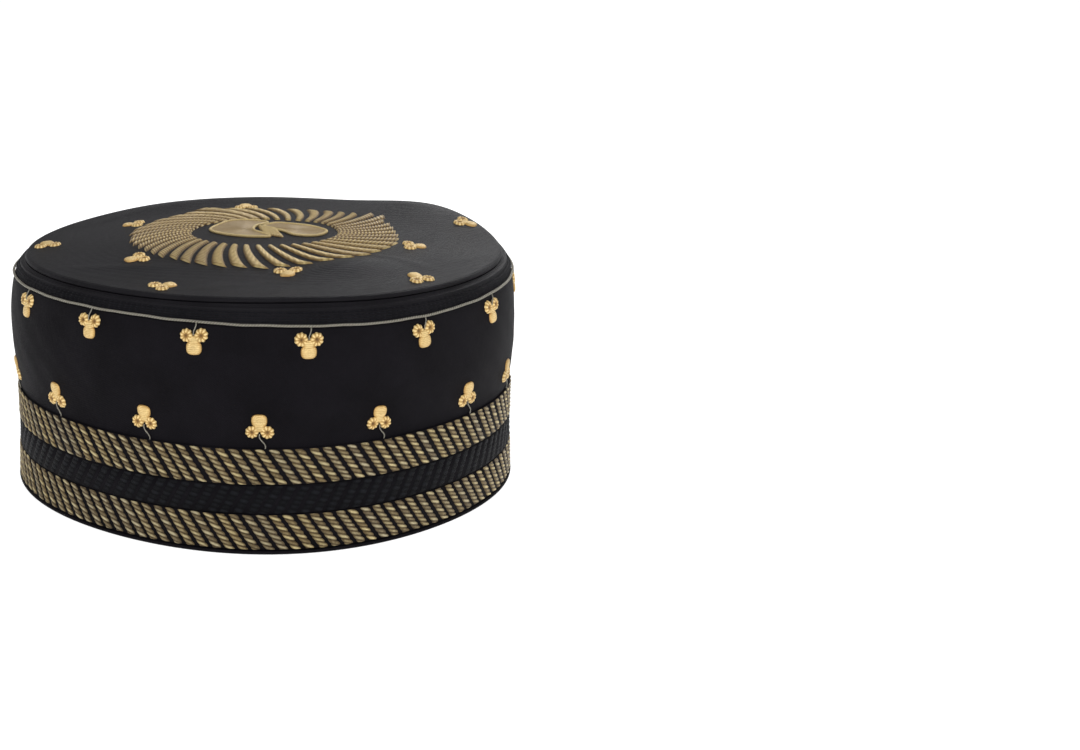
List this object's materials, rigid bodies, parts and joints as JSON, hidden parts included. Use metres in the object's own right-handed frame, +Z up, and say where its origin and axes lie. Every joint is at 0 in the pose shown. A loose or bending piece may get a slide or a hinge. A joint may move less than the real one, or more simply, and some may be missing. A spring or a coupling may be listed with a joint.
{
  "type": "kufi cap",
  "caption": "Round black cloth cap with a flat, soft crown, gold embroidered bands round the rim, rows of small gold trefoils and a rayed gold medallion on top.",
  "frame": {"origin": "centre of the bounding box at the flat underside of the rim", "axes": "+X along the head's long way (the picture's left to right), +Z up, the picture's camera looks from -Y"},
  "size_m": [0.2, 0.18, 0.0975],
  "materials": {
    "black_satin": "closely woven black satin, soft sheen",
    "crown_cloth": "soft black satin, slightly lighter where the light falls on it",
    "gold_thread": "metallic gold embroidery thread in satin stitch",
    "pale_thread": "pale silvery gold twisted thread"
  },
  "bodies": {
    "root": {"side_wall": "black_satin", "bottom_binding": "black_satin", "gold_band_lower": "gold_thread", "black_band": "black_satin", "gold_band_upper": "gold_thread", "gold_cord": "pale_thread", "rim_strip": "crown_cloth", "crown_panel": "crown_cloth", "ray_ring": "gold_thread", "leaf_left": "gold_thread", "leaf_right": "gold_thread", "leaf_comb": "pale_thread", "hanging_trefoil_01": "gold_thread", "hanging_trefoil_02": "gold_thread", "hanging_trefoil_03": "gold_thread", "hanging_trefoil_04": "gold_thread", "hanging_trefoil_05": "gold_thread", "hanging_trefoil_06": "gold_thread", "hanging_trefoil_07": "gold_thread", "hanging_trefoil_08": "gold_thread", "hanging_trefoil_09": "gold_thread", "hanging_trefoil_10": "gold_thread", "hanging_trefoil_11": "gold_thread", "hanging_trefoil_12": "gold_thread", "hanging_trefoil_13": "gold_thread", "hanging_trefoil_14": "gold_thread", "standing_trefoil_01": "gold_thread", "standing_trefoil_02": "gold_thread", "standing_trefoil_03": "gold_thread", "standing_trefoil_04": "gold_thread", "standing_trefoil_05": "gold_thread", "standing_trefoil_06": "gold_thread", "standing_trefoil_07": "gold_thread", "standing_trefoil_08": "gold_thread", "standing_trefoil_09": "gold_thread", "standing_trefoil_10": "gold_thread", "standing_trefoil_11": "gold_thread", "standing_trefoil_12": "gold_thread", "standing_trefoil_13": "gold_thread", "standing_trefoil_14": "gold_thread", "crown_trefoil_01": "gold_thread", "crown_trefoil_02": "gold_thread", "crown_trefoil_03": "gold_thread", "crown_trefoil_04": "gold_thread", "crown_trefoil_05": "gold_thread", "crown_trefoil_06": "gold_thread", "crown_trefoil_07": "gold_thread", "crown_trefoil_08": "gold_thread", "crown_trefoil_09": "gold_thread"}
  },
  "joints": []
}
